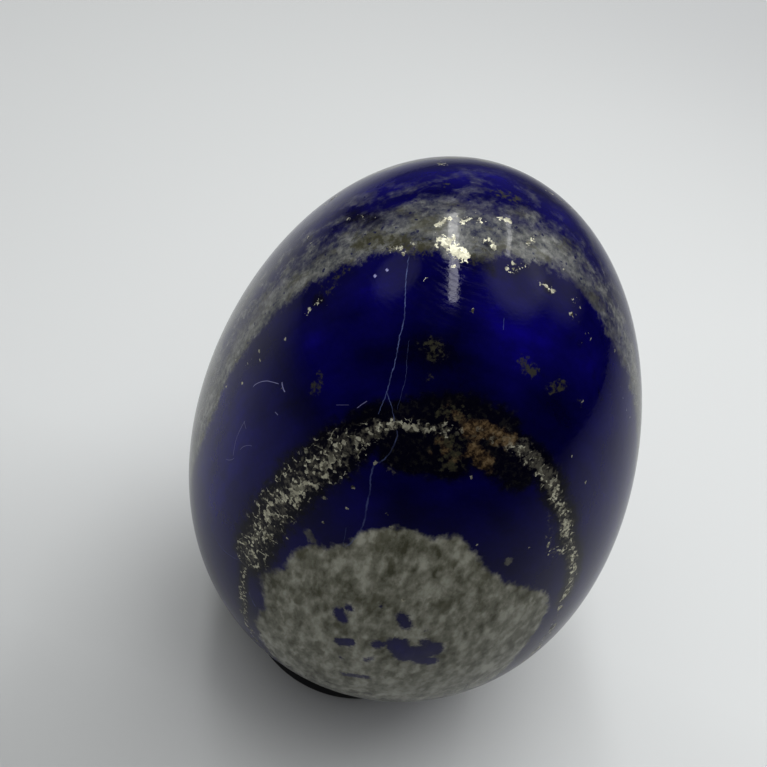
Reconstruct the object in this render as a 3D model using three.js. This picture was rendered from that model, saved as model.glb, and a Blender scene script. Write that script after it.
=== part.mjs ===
// A polished lapis lazuli egg, standing blunt end down in a small black ring stand.
// Millimetres, +Z up. The origin is the centre of the ring's foot, on the surface it stands on.
// The egg is a turned and polished stone: one solid, a surface of revolution with a blunt lower
// end and a narrower top, and it leans a few degrees in its ring, as a loose egg does.
import * as THREE from "three";

// The egg: its widest diameter, its length, and the two numbers that give the egg form.
const EGG_DIAMETER = 48;
const EGG_LENGTH = 66;
const EGG_TAPER = 0.16; // how much narrower the top is than the foot
const EGG_FULLNESS = 0.085; // how much the two ends swell beyond an ellipse
const EGG_LEAN_DEG = -4; // about +Y, so the top leans towards -X
const EGG_POLE_HEIGHT = 4; // the lowest point of an upright egg above the table
const EGG_RINGS = 44;
const EGG_SEGMENTS = 88;

// The ring stand: a plain turned ring with a bevelled seat for the stone.
const STAND_DIAMETER = 26;
const STAND_BORE = 20;
const STAND_EDGE_RADIUS = 0.9; // the rounded outer top edge
const STAND_FOOT_CHAMFER = 0.3;
const SEAT_RADIUS = 11; // where the stone bears on the bevel
const SEAT_OUTER_RADIUS = 12;
const SEAT_GAP = 0.3; // room between the stone and the bevel
const STAND_SEGMENTS = 72;
const EDGE_STEPS = 3;

const EGG_RADIUS = EGG_DIAMETER / 2;
const EGG_HALF_LENGTH = EGG_LENGTH / 2;

// The egg's half width at the angle t, from -90 degrees at the foot to 90 degrees at the top,
// before it is scaled to the widest diameter.
function eggSwell(t) {
  const s = Math.sin(t);
  return Math.cos(t) * (1 - EGG_TAPER * s + EGG_FULLNESS * s * s);
}

// The largest value of eggSwell, found by halving steps around its peak.
function widestSwell() {
  let t = 0;
  for (let step = 0.1; step > 1e-6; step /= 2) {
    while (eggSwell(t - step) > eggSwell(t)) t -= step;
    while (eggSwell(t + step) > eggSwell(t)) t += step;
  }
  return eggSwell(t);
}

const EGG_SCALE = EGG_RADIUS / widestSwell();

// The radius of the ball that fits the blunt end: the egg rocks about that ball's centre.
const BLUNT_END_RADIUS =
  (EGG_SCALE * (1 + EGG_TAPER + EGG_FULLNESS)) ** 2 / EGG_HALF_LENGTH;
const ROCKING_CENTRE_HEIGHT = EGG_POLE_HEIGHT + BLUNT_END_RADIUS;

// The egg's outline from foot to top, as points (distance from the axis, height above the foot).
function eggOutline() {
  const points = [];
  for (let i = 0; i <= EGG_RINGS; i++) {
    const t = Math.PI * (i / EGG_RINGS - 0.5);
    const onAxis = i === 0 || i === EGG_RINGS;
    const across = onAxis ? 0 : EGG_SCALE * eggSwell(t);
    points.push(
      new THREE.Vector2(across, EGG_HALF_LENGTH * (1 + Math.sin(t))),
    );
  }
  return points;
}

// The ring's section, closed on itself, as points (distance from the axis, height).
function standOutline() {
  const slope = Math.asin(SEAT_RADIUS / BLUNT_END_RADIUS);
  const seatHeight =
    ROCKING_CENTRE_HEIGHT -
    BLUNT_END_RADIUS * Math.cos(slope) -
    SEAT_GAP / Math.cos(slope);
  const bevelAt = (r) => seatHeight + (r - SEAT_RADIUS) * Math.tan(slope);
  const outer = STAND_DIAMETER / 2;
  const bore = STAND_BORE / 2;
  const top = bevelAt(SEAT_OUTER_RADIUS);
  const section = new THREE.Path();
  section.moveTo(bore, STAND_FOOT_CHAMFER);
  section.lineTo(bore + STAND_FOOT_CHAMFER, 0);
  section.lineTo(outer - STAND_FOOT_CHAMFER, 0);
  section.lineTo(outer, STAND_FOOT_CHAMFER);
  section.lineTo(outer, top - STAND_EDGE_RADIUS);
  section.absarc(
    outer - STAND_EDGE_RADIUS,
    top - STAND_EDGE_RADIUS,
    STAND_EDGE_RADIUS,
    0,
    Math.PI / 2,
    false,
  );
  section.lineTo(SEAT_OUTER_RADIUS, top);
  section.lineTo(bore, bevelAt(bore));
  section.lineTo(bore, STAND_FOOT_CHAMFER);
  return section.getPoints(EDGE_STEPS);
}

// A solid turned about +Z from its outline.
function turned(outline, segments) {
  const geometry = new THREE.LatheGeometry(outline, segments);
  geometry.rotateX(Math.PI / 2);
  return geometry;
}

const stone = new THREE.MeshStandardMaterial({
  color: 0x14124a,
  roughness: 0.08,
  metalness: 0,
});
const blackRing = new THREE.MeshStandardMaterial({
  color: 0x08080c,
  roughness: 0.3,
  metalness: 0,
});

const egg = new THREE.Mesh(turned(eggOutline(), EGG_SEGMENTS), stone);
egg.name = "egg";
egg.position.z = -BLUNT_END_RADIUS;

// The egg leans by rocking about the centre of its blunt end, straight above the ring's centre.
const leaning = new THREE.Group();
leaning.position.z = ROCKING_CENTRE_HEIGHT;
leaning.rotation.y = THREE.MathUtils.degToRad(EGG_LEAN_DEG);
leaning.add(egg);

const stand = new THREE.Mesh(turned(standOutline(), STAND_SEGMENTS), blackRing);
stand.name = "ring_stand";

const lapisEgg = new THREE.Group();
lapisEgg.add(leaning, stand);

export default lapisEgg;
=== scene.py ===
"""The looks of a polished lapis lazuli egg that stands in a small black ring.

The stone is cut across its beds. Their planes are nearly parallel, so every band is a range of
heights along one bedding normal, and it runs on round the sides and the back of the egg. Marks
that were read off the photograph are kept as photo pixels and are cast onto the egg from the
photograph's viewpoint. Lengths are millimetres until they reach a mesh, which is in metres.
"""

import logging
import math
from dataclasses import dataclass, field
from enum import Enum
from functools import cached_property

import bmesh
import bpy
import numpy as np
from mathutils import Matrix, Vector


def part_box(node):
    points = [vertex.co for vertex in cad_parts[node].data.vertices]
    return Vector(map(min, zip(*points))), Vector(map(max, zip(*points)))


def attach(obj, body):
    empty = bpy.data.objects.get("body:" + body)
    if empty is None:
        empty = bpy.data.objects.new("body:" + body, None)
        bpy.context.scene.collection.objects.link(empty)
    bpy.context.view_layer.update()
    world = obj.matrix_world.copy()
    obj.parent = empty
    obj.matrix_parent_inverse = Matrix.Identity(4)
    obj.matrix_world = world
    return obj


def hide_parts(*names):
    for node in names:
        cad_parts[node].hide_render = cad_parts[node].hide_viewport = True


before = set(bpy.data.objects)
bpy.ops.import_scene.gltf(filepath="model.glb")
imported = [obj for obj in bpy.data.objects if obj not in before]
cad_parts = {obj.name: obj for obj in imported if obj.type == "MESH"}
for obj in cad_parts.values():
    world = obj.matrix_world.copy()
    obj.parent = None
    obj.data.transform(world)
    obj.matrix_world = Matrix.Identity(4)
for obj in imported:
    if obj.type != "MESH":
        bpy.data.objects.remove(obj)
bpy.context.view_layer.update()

LOG = logging.getLogger("lapis_egg")
MM = 0.001
BODY = "root"
PHOTO_SIDE = 767
SENSOR_MM = 36.0
Pixel = tuple[float, float]
Colour = tuple[float, float, float]
Bends = tuple[tuple[float, float], ...]
Tones = tuple[tuple[float, Colour], ...]
BACKDROP: Colour = (0.62, 0.63, 0.64)
LIGHT_AIM = Vector((0.0, 0.0, 0.035))  # the egg's middle, in metres


class Axis(Enum):
    """The axes that a small turn may be about."""

    X = "X"
    Y = "Y"
    Z = "Z"


def turn(degrees: float, axis: Axis) -> Matrix:
    """Gives a 3 by 3 turn by an angle about one axis."""
    return Matrix.Rotation(math.radians(degrees), 3, axis.value)


def as_array(vector: Vector) -> np.ndarray:
    """Gives a Blender vector as a numpy row."""
    return np.array(tuple(vector), float)


class Signal:
    """A node socket on which Python's operators add Math nodes."""

    def __init__(self, bench: "Bench", socket: bpy.types.NodeSocket) -> None:
        """Keeps the socket and the bench that adds nodes after it."""
        self.bench = bench
        self.socket = socket

    def __add__(self, other: "Signal | float") -> "Signal":
        """Adds."""
        return self.bench.maths("ADD", self, other)

    def __sub__(self, other: "Signal | float") -> "Signal":
        """Subtracts."""
        return self.bench.maths("SUBTRACT", self, other)

    def __rsub__(self, other: float) -> "Signal":
        """Subtracts this signal from a number."""
        return self.bench.maths("SUBTRACT", other, self)

    def __mul__(self, other: "Signal | float") -> "Signal":
        """Multiplies."""
        return self.bench.maths("MULTIPLY", self, other)

    def __truediv__(self, other: "Signal | float") -> "Signal":
        """Divides."""
        return self.bench.maths("DIVIDE", self, other)

    def __abs__(self) -> "Signal":
        """Takes the size of the signal without its sign."""
        return self.bench.maths("ABSOLUTE", self)

    def __or__(self, other: "Signal | float") -> "Signal":
        """Takes the larger of the two."""
        return self.bench.maths("MAXIMUM", self, other)

    __radd__ = __add__
    __rmul__ = __mul__


class Bench:
    """Adds nodes to one node tree."""

    def __init__(self, tree: bpy.types.NodeTree) -> None:
        """Empties the tree, so that what is on it comes from this bench."""
        self.tree = tree
        tree.nodes.clear()

    def node(
        self, kind: str, settings: dict | None = None, sockets: dict | None = None
    ) -> bpy.types.Node:
        """Adds one node.

        Args:
            kind: the node's type name.
            settings: its own settings, set before its sockets. A ramp's `stops` are pairs of
                place and colour, and a curve's `bends` are pairs of place and height.
            sockets: values or signals for its inputs, by name or number.

        Returns:
            The node.
        """
        made = self.tree.nodes.new(kind)
        for name, value in (settings or {}).items():
            if name == "stops":
                self._set_stops(made.color_ramp, value)
            elif name == "bends":
                self._set_bends(made.mapping, value)
            else:
                setattr(made, name, value)
        for key, value in (sockets or {}).items():
            if isinstance(value, Signal):
                self.tree.links.new(value.socket, made.inputs[key])
            else:
                made.inputs[key].default_value = value
        return made

    @staticmethod
    def _set_stops(ramp: bpy.types.ColorRamp, stops: Tones) -> None:
        """Gives a colour ramp its stops.

        Args:
            ramp: the ramp.
            stops: pairs of place and colour, in order.
        """
        while len(ramp.elements) < len(stops):
            ramp.elements.new(1.0)
        for element, (place, colour) in zip(ramp.elements, stops):
            element.position = place
            element.color = (*colour, 1.0)

    @staticmethod
    def _set_bends(mapping: bpy.types.CurveMapping, bends: Bends) -> None:
        """Gives a float curve its points.

        Args:
            mapping: the curve's mapping.
            bends: pairs of place and height, in order.
        """
        points = mapping.curves[0].points
        while len(points) < len(bends):
            points.new(1.0, 1.0)
        for point, place in zip(points, bends):
            point.location = place
        mapping.update()

    def signal(
        self, kind: str, settings: dict | None, sockets: dict, output: str | int = 0
    ) -> Signal:
        """Adds one node and gives one of its outputs."""
        return Signal(self, self.node(kind, settings, sockets).outputs[output])

    def maths(self, operation: str, *values: Signal | float) -> Signal:
        """Adds a Math node."""
        return self.signal("ShaderNodeMath", {"operation": operation}, dict(enumerate(values)))

    def vector(self, operation: str, *values: Signal | tuple, output: int = 0) -> Signal:
        """Adds a Vector Math node on vectors."""
        settings = {"operation": operation}
        return self.signal("ShaderNodeVectorMath", settings, dict(enumerate(values)), output)

    def scaled(self, vector: Signal | tuple, scale: Signal | float) -> Signal:
        """Gives a vector times a number."""
        sockets = {0: vector, "Scale": scale}
        return self.signal("ShaderNodeVectorMath", {"operation": "SCALE"}, sockets)

    def fade(self, value: Signal, low: float, high: float) -> Signal:
        """Gives a smooth step.

        Args:
            value: what the step follows.
            low: where the step is 0.
            high: where it is 1. If this is the smaller number, the step falls.

        Returns:
            A signal from 0 to 1.
        """
        settings = {"interpolation_type": "SMOOTHSTEP"}
        if low <= high:
            return self.signal("ShaderNodeMapRange", settings, {0: value, 1: low, 2: high})
        return 1.0 - self.signal("ShaderNodeMapRange", settings, {0: value, 1: high, 2: low})

    def noise(self, place: Signal, per_mm: float, detail: float = 2.0, rough: float = 0.5) -> Signal:
        """Gives soft noise from 0 to 1, about 0.5 on average."""
        sockets = {"Vector": place, "Scale": per_mm, "Detail": detail, "Roughness": rough}
        return self.signal("ShaderNodeTexNoise", {"noise_dimensions": "3D"}, sockets)

    def sway(self, place: Signal, per_mm: float, detail: float = 2.0, rough: float = 0.5) -> Signal:
        """Gives the same noise about 0."""
        return self.noise(place, per_mm, detail, rough) - 0.5

    def shift(self, place: Signal, per_mm: float, reach: float) -> Signal:
        """Gives a soft random shift in all three directions.

        Args:
            place: the place that the shift belongs to.
            per_mm: how fine its noise is.
            reach: how far it goes, in millimetres.

        Returns:
            A vector about 0.
        """
        sockets = {"Vector": place, "Scale": per_mm, "Detail": 2.0}
        noise = self.signal("ShaderNodeTexNoise", {"noise_dimensions": "3D"}, sockets, "Color")
        return self.scaled(self.vector("SUBTRACT", noise, (0.5, 0.5, 0.5)), reach)

    def cells(self, place: Signal, per_mm: float) -> tuple[Signal, Signal]:
        """Adds a pattern of grains.

        Args:
            place: the place on the piece.
            per_mm: how many grains there are to a millimetre.

        Returns:
            The distance to the nearest grain's centre, and a number of its own for each grain.
        """
        sockets = {"Vector": place, "Scale": per_mm}
        made = self.node("ShaderNodeTexVoronoi", {"feature": "F1"}, sockets)
        split = self.node("ShaderNodeSeparateColor", None, {0: Signal(self, made.outputs["Color"])})
        return Signal(self, made.outputs["Distance"]), Signal(self, split.outputs[0])

    def field(self, name: str) -> Signal:
        """Reads a number that the mesh holds at each of its points."""
        return self.signal("ShaderNodeAttribute", {"attribute_name": name}, {}, "Fac")

    def blend(self, share: Signal | float, under: Signal | Colour, over: Signal | Colour) -> Signal:
        """Mixes two colours.

        Args:
            share: how much of `over` shows, from 0 to 1.
            under: the colour where the share is 0.
            over: the colour where it is 1.

        Returns:
            The mixed colour.
        """
        colours = [v if isinstance(v, Signal) else (*v, 1.0) for v in (under, over)]
        sockets = {0: share, 6: colours[0], 7: colours[1]}
        return self.signal("ShaderNodeMix", {"data_type": "RGBA"}, sockets, 2)

    def ramp(self, value: Signal, stops: Tones) -> Signal:
        """Gives a colour that runs through the stops."""
        return self.signal("ShaderNodeValToRGB", {"stops": stops}, {0: value})

    def place_mm(self) -> Signal:
        """Gives the place on the piece, in millimetres."""
        return self.scaled(self.signal("ShaderNodeTexCoord", None, {}, "Object"), 1.0 / MM)

    def relief(self, height: Signal, strength: float, distance: float) -> Signal:
        """Gives the direction of a surface that a height makes uneven."""
        sockets = {"Strength": strength, "Distance": distance, "Height": height}
        return self.signal("ShaderNodeBump", None, sockets)

    def surface(self, sockets: dict) -> None:
        """Adds the surface's shader and the material's output."""
        shader = self.signal("ShaderNodeBsdfPrincipled", None, sockets, "BSDF")
        self.node("ShaderNodeOutputMaterial", None, {"Surface": shader})


def started(name: str) -> tuple[bpy.types.Material, Bench]:
    """Starts a material.

    Args:
        name: its name.

    Returns:
        The material and the bench for its nodes.
    """
    material = bpy.data.materials.new(name)
    material.use_nodes = True
    return material, Bench(material.node_tree)


@dataclass(frozen=True)
class EggForm:
    """The form of the turned stone, upright or leaning in its ring, in millimetres.

    Attributes:
        diameter: the widest width.
        length: the length from foot to top.
        taper: how much narrower the top is than the foot.
        fullness: how much the two ends swell beyond an ellipse.
        lean_deg: the lean about +Y, below 0 towards -X.
        pole_height: the lowest point of an upright egg above the table.
    """

    diameter: float = 48.0
    length: float = 66.0
    taper: float = 0.16
    fullness: float = 0.085
    lean_deg: float = -4.0
    pole_height: float = 4.0

    def swell(self, slant: np.ndarray) -> np.ndarray:
        """Gives the half width before scaling, for the sine of the angle up from the waist."""
        across = np.sqrt(np.clip(1.0 - slant * slant, 0.0, 1.0))
        return across * (1.0 - self.taper * slant + self.fullness * slant * slant)

    @property
    def half_length(self) -> float:
        """Half the egg's length."""
        return self.length / 2

    @cached_property
    def girth(self) -> float:
        """The scale that makes the widest half width half the diameter."""
        return self.diameter / 2 / float(self.swell(np.linspace(-1.0, 1.0, 20001)).max())

    @property
    def blunt_radius(self) -> float:
        """The radius of the ball that fits the blunt end."""
        return (self.girth * (1 + self.taper + self.fullness)) ** 2 / self.half_length

    @property
    def rocking_centre(self) -> np.ndarray:
        """The centre of that ball, about which the egg leans."""
        return np.array([0.0, 0.0, self.pole_height + self.blunt_radius])

    @property
    def leaning(self) -> np.ndarray:
        """The turn from the upright egg to the leaning one."""
        return np.array(turn(self.lean_deg, Axis.Y))

    @property
    def middle_drop(self) -> np.ndarray:
        """From the egg's own middle to the rocking centre, along the upright egg's axis."""
        return np.array([0.0, 0.0, self.blunt_radius - self.half_length])

    def placed(self, unit: np.ndarray) -> np.ndarray:
        """Carries points of the unit ball onto the leaning egg.

        Args:
            unit: rows of points on the unit ball.

        Returns:
            Rows of points on the egg.
        """
        slant = np.clip(unit[:, 2], -1.0, 1.0)
        round_about = np.hypot(unit[:, 0], unit[:, 1])
        width = self.girth * self.swell(slant) / np.maximum(round_about, 1e-9)
        upright = np.stack([unit[:, 0] * width, unit[:, 1] * width, slant * self.half_length], 1)
        return (upright - self.middle_drop) @ self.leaning.T + self.rocking_centre

    def outside(self, points: np.ndarray) -> np.ndarray:
        """Tells how far points lie outside the egg, sideways from its axis.

        Args:
            points: rows of points in millimetres.

        Returns:
            Distances in millimetres, below 0 inside the egg.
        """
        upright = (points - self.rocking_centre) @ self.leaning + self.middle_drop
        slant = upright[..., 2] / self.half_length
        width = self.girth * self.swell(np.clip(slant, -1.0, 1.0))
        past_the_ends = np.maximum(np.abs(slant) - 1.0, 0.0) * self.half_length
        return np.hypot(upright[..., 0], upright[..., 1]) - width + past_the_ends

    def normals(self, points: np.ndarray) -> np.ndarray:
        """Finds the outward direction at points on the egg.

        Args:
            points: rows of points in millimetres.

        Returns:
            Rows of unit vectors.
        """
        step = 0.01
        shifts = [step * way for way in np.eye(3)]
        slopes = [self.outside(points + shift) - self.outside(points - shift) for shift in shifts]
        rows = np.stack(slopes, -1)
        return rows / np.linalg.norm(rows, axis=-1, keepdims=True)


@dataclass(frozen=True)
class Viewpoint:
    """Where the photograph was taken from, in millimetres and degrees.

    Attributes:
        aim_height: the height of the place that the camera is turned about.
        distance: how far from there the camera is.
        elevation_deg: how high the camera stands.
        pan_deg: its turn to the side from that place.
        tilt_deg: its turn up or down.
        roll_deg: its turn about its own line of sight.
        focal_px: the focal length in photo pixels.
        clip_start: where the camera's view starts, in metres.
        searched: the part of the way along a ray where the egg is looked for.
        search_steps: how many places there are tried.
        halvings: how often the step that reaches the egg is halved.
    """

    aim_height: float = 36.96
    distance: float = 124.8
    elevation_deg: float = 48.48
    pan_deg: float = 2.71
    tilt_deg: float = 1.64
    roll_deg: float = 23.15
    focal_px: float = 1152.3
    clip_start: float = 0.005
    searched: tuple[float, float] = (0.4, 1.4)
    search_steps: int = 400
    halvings: int = 24

    @property
    def back(self) -> Vector:
        """The direction from the egg to the camera."""
        elevation = math.radians(self.elevation_deg)
        return Vector((0.0, -math.cos(elevation), math.sin(elevation)))

    @property
    def place(self) -> Vector:
        """The camera's place."""
        return Vector((0.0, 0.0, self.aim_height)) + self.back * self.distance

    @property
    def attitude(self) -> Matrix:
        """The camera's turn.

        Returns:
            The turn from looking straight down to looking along its line of sight.
        """
        right = Vector((1.0, 0.0, 0.0))
        level = Matrix((right, self.back.cross(right), self.back)).transposed()
        aimed = level @ turn(self.pan_deg, Axis.Y) @ turn(self.tilt_deg, Axis.X)
        return aimed @ turn(self.roll_deg, Axis.Z)

    def make_camera(self) -> bpy.types.Object:
        """Makes the scene's camera.

        Returns:
            The camera.
        """
        data = bpy.data.cameras.new("camera")
        data.sensor_width = SENSOR_MM
        data.lens = self.focal_px * SENSOR_MM / PHOTO_SIDE
        data.clip_start = self.clip_start
        camera = bpy.data.objects.new("camera", data)
        bpy.context.scene.collection.objects.link(camera)
        camera.matrix_world = Matrix.LocRotScale(self.place * MM, self.attitude, None)
        bpy.context.scene.camera = camera
        return camera

    def cast(self, form: EggForm, pixels: list[Pixel]) -> np.ndarray:
        """Finds the points of the egg that photo pixels show.

        Args:
            form: the egg.
            pixels: places in the photograph, x to the right and y down.

        Returns:
            Rows of points on the egg, in millimetres.
        """
        middle = PHOTO_SIDE / 2
        spots = np.array(pixels, float)
        ahead = np.full(len(spots), -self.focal_px)
        flat = np.stack([spots[:, 0] - middle, middle - spots[:, 1], ahead], 1)
        rays = flat @ np.array(self.attitude).T
        rays /= np.linalg.norm(rays, axis=1, keepdims=True)
        start = as_array(self.place)
        reach = np.linspace(*self.searched, self.search_steps) * self.distance
        walked = start + rays[:, None, :] * reach[None, :, None]
        inside = form.outside(walked) < 0
        first = inside.argmax(axis=1)
        near = reach[np.maximum(first - 1, 0)]
        far = reach[first]
        for _ in range(self.halvings):
            halfway = (near + far) / 2
            within = form.outside(start + rays * halfway[:, None]) < 0
            far = np.where(within, halfway, far)
            near = np.where(within, near, halfway)
        return start + rays * far[:, None]


@dataclass(frozen=True)
class Bedding:
    """How the stone's beds lie.

    Attributes:
        normal: the direction in which they are stacked, towards the photographed side.
        middle: the point that heights start at, in millimetres.
    """

    normal: tuple[float, float, float] = (0.25, -0.968, -0.02)
    middle: tuple[float, float, float] = (0.0, 0.0, 34.0)

    @property
    def stacked(self) -> np.ndarray:
        """The same direction as a unit vector."""
        return as_array(Vector(self.normal).normalized())

    def height(self, points: np.ndarray) -> np.ndarray:
        """Gives the height of points along the bedding normal."""
        return (points - np.array(self.middle)) @ self.stacked

    def bearing(self, points: np.ndarray) -> np.ndarray:
        """Finds the angle of points round the bedding normal.

        Args:
            points: rows of points in millimetres.

        Returns:
            Angles in degrees.
        """
        up = Vector((0.0, 0.0, 1.0))
        normal = Vector(tuple(self.stacked))
        rise = (up - normal * normal.dot(up)).normalized()
        side = normal.cross(rise) * -1.0
        offset = points - np.array(self.middle)
        return np.degrees(np.arctan2(offset @ as_array(rise), offset @ as_array(side)))


@dataclass(frozen=True)
class BedEdge:
    """One edge between beds.

    Attributes:
        name: the edge's name, also that of its numbers on the mesh.
        pixels: the photo pixels that it passes through.
        flattest: the least slope, squared, that a distance over the surface is worked out with.
    """

    name: str
    pixels: tuple[Pixel, ...]
    flattest: float = 0.09

    def across(
        self,
        points: np.ndarray,
        normals: np.ndarray,
        form: EggForm,
        view: Viewpoint,
        beds: Bedding,
    ) -> np.ndarray:
        """Measures over the surface how far points lie in front of the edge.

        Args:
            points: rows of points on the egg.
            normals: the outward direction at each.
            form: the egg.
            view: the photograph's viewpoint.
            beds: the bedding.

        Returns:
            Distances in millimetres, above 0 towards the photographed side.
        """
        seen = view.cast(form, list(self.pixels))
        order = np.argsort(beds.bearing(seen))
        level = np.interp(
            beds.bearing(points), beds.bearing(seen)[order], beds.height(seen)[order], period=360.0
        )
        steepness = np.sqrt(np.clip(1.0 - (normals @ beds.stacked) ** 2, self.flattest, 1.0))
        return (beds.height(points) - level) / steepness


@dataclass(frozen=True)
class Smear:
    """A soft-edged mark along a line of photo pixels.

    Attributes:
        pixels: the line, or one place.
        reach: how far the mark spreads from the line, in millimetres.
        amount: how strong it is on the line.
    """

    pixels: tuple[Pixel, ...]
    reach: float
    amount: float = 1.0

    def strength(self, points: np.ndarray, form: EggForm, view: Viewpoint) -> np.ndarray:
        """Finds the mark's strength at points on the egg.

        Args:
            points: rows of points in millimetres.
            form: the egg.
            view: the photograph's viewpoint.

        Returns:
            Strengths from 0 to the mark's amount.
        """
        line = view.cast(form, list(self.pixels))
        nearest = np.linalg.norm(points - line[0], axis=1)
        for start, end in zip(line[:-1], line[1:]):
            way = end - start
            along = np.clip((points - start) @ way / (way @ way), 0.0, 1.0)
            aside = points - start - along[:, None] * way
            nearest = np.minimum(nearest, np.linalg.norm(aside, axis=1))
        close = np.clip(1.0 - nearest / self.reach, 0.0, 1.0)
        return self.amount * close * close * (3.0 - 2.0 * close)


@dataclass(frozen=True)
class Vein:
    """A fine line in or on the stone, through photo pixels.

    Attributes:
        pixels: places along the line.
        width: its half width in millimetres.
        amount: how clearly it shows.
        sharpness: the part of the half width at which it shows in full.
        slack: the room that its curve leaves beside its widest swing.
        ending: the parts of its length between which it starts to show.
        depths: how deep in the stone it fades out, so that the far side doesn't show it.
    """

    pixels: tuple[Pixel, ...]
    width: float
    amount: float
    sharpness: float = 0.2
    slack: float = 1.2
    ending: tuple[float, float] = (-0.01, 0.03)
    depths: tuple[float, float] = (-12.0, -9.0)

    def mask(self, bench: Bench, place: Signal, form: EggForm, view: Viewpoint) -> Signal:
        """Adds the nodes that draw the line.

        Args:
            bench: the material's bench.
            place: the place on the stone, in millimetres.
            form: the egg.
            view: the photograph's viewpoint.

        Returns:
            The line's strength.
        """
        line = view.cast(form, list(self.pixels))
        outward = form.normals(line).mean(axis=0)
        way = line[-1] - line[0]
        way -= outward * (way @ outward)
        length = float(np.linalg.norm(way))
        way /= length
        side = np.cross(outward / np.linalg.norm(outward), way)
        along = (line - line[0]) @ way / length
        wander = (line - line[0]) @ side
        swing = max(float(np.abs(wander).max()), 0.01) * self.slack
        bends = [(float(a), float(0.5 + 0.5 * w / swing)) for a, w in zip(along, wander)]
        offset = bench.vector("SUBTRACT", place, tuple(line[0]))
        done = bench.vector("DOT_PRODUCT", offset, tuple(way), output=1) / length
        sideways = bench.vector("DOT_PRODUCT", offset, tuple(side), output=1)
        curve = bench.signal("ShaderNodeFloatCurve", {"bends": bends}, {"Value": done})
        off_line = abs(sideways - (curve - 0.5) * (2 * swing))
        start, full = self.ending
        ends = bench.fade(done, start, full) * bench.fade(done, 1.0 - start, 1.0 - full)
        depth = bench.vector("DOT_PRODUCT", offset, tuple(outward), output=1)
        near_side = bench.fade(depth, *self.depths)
        core = bench.fade(off_line, self.width, self.width * self.sharpness)
        return core * ends * near_side * self.amount


@dataclass(frozen=True)
class Specks:
    """Single pyrite grains, as photo pixels with a radius in millimetres each."""

    grains: tuple[tuple[float, float, float], ...]

    def nearness(self, bench: Bench, place: Signal, form: EggForm, view: Viewpoint) -> Signal:
        """Adds the nodes that measure how deep a place lies in the nearest grain.

        Args:
            bench: the material's bench.
            place: the place on the stone, in millimetres, already roughened.
            form: the egg.
            view: the photograph's viewpoint.

        Returns:
            1 at a grain's middle, 0 at its edge and less outside.
        """
        middles = view.cast(form, [grain[:2] for grain in self.grains])
        deepest = None
        for middle, (_, _, radius) in zip(middles, self.grains):
            away = bench.vector("DISTANCE", place, tuple(middle), output=1)
            depth = away * (-1.0 / radius) + 1.0
            deepest = depth if deepest is None else deepest | depth
        return deepest


BAND_FRONT = BedEdge(
    "band_front",
    (
        (203, 440), (216, 410), (226, 380), (245, 352), (262, 325), (285, 303), (308, 287),
        (328, 274), (350, 264), (372, 255), (403, 250), (435, 252), (452, 258), (475, 262),
        (496, 256), (512, 253), (534, 262), (554, 266), (574, 283), (592, 304), (604, 324),
        (618, 350), (626, 372),
    ),
)
BAND_BACK = BedEdge(
    "band_back",
    (
        (250, 285), (275, 262), (300, 246), (320, 234), (345, 226), (370, 222), (385, 217),
        (400, 210), (420, 204), (445, 200), (470, 201), (490, 204), (510, 211), (532, 213),
        (548, 224), (565, 234), (580, 246), (592, 264), (606, 288),
    ),
)
ARCH = BedEdge(
    "arch",
    (
        (251, 630), (244, 615), (243, 598), (243, 581), (246, 567), (251, 555), (269, 517),
        (292, 488), (320, 462), (348, 441), (375, 428), (403, 426), (435, 427), (466, 432),
        (494, 437), (522, 452), (545, 474), (557, 496), (566, 520), (571, 545), (574, 560),
        (571, 580), (565, 596), (560, 610),
    ),
)
CAP = BedEdge(
    "cap",
    (
        (256, 622), (266, 608), (263, 593), (262, 575), (283, 567), (290, 555), (298, 549),
        (319, 546), (345, 547), (359, 534), (380, 530), (392, 526), (408, 527), (420, 535),
        (434, 538), (450, 538), (458, 535), (466, 543), (474, 555), (486, 567), (502, 581),
        (525, 587), (546, 591), (549, 604), (545, 613), (536, 632), (520, 650),
    ),
)

LEFT_ARCH = ((250, 556), (262, 530), (278, 505), (296, 485), (312, 472), (330, 458), (345, 447))
TOP_ARCH = ((352, 441), (375, 428), (403, 427), (420, 428), (440, 431), (456, 434))
RIGHT_ARCH = ((506, 440), (512, 444), (524, 452), (536, 464), (548, 476), (554, 488), (557, 499))
RIGHT_FOOT = ((563, 508), (569, 523), (567, 538), (573, 548), (575, 560), (572, 580), (565, 596))
LEFT_FOOT = ((263, 536), (251, 547), (250, 557), (246, 567), (243, 581), (244, 598), (245, 615))
HOLE_SPREAD = 1.22  # how far a small hole in the cap fades out, in its own radii

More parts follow.
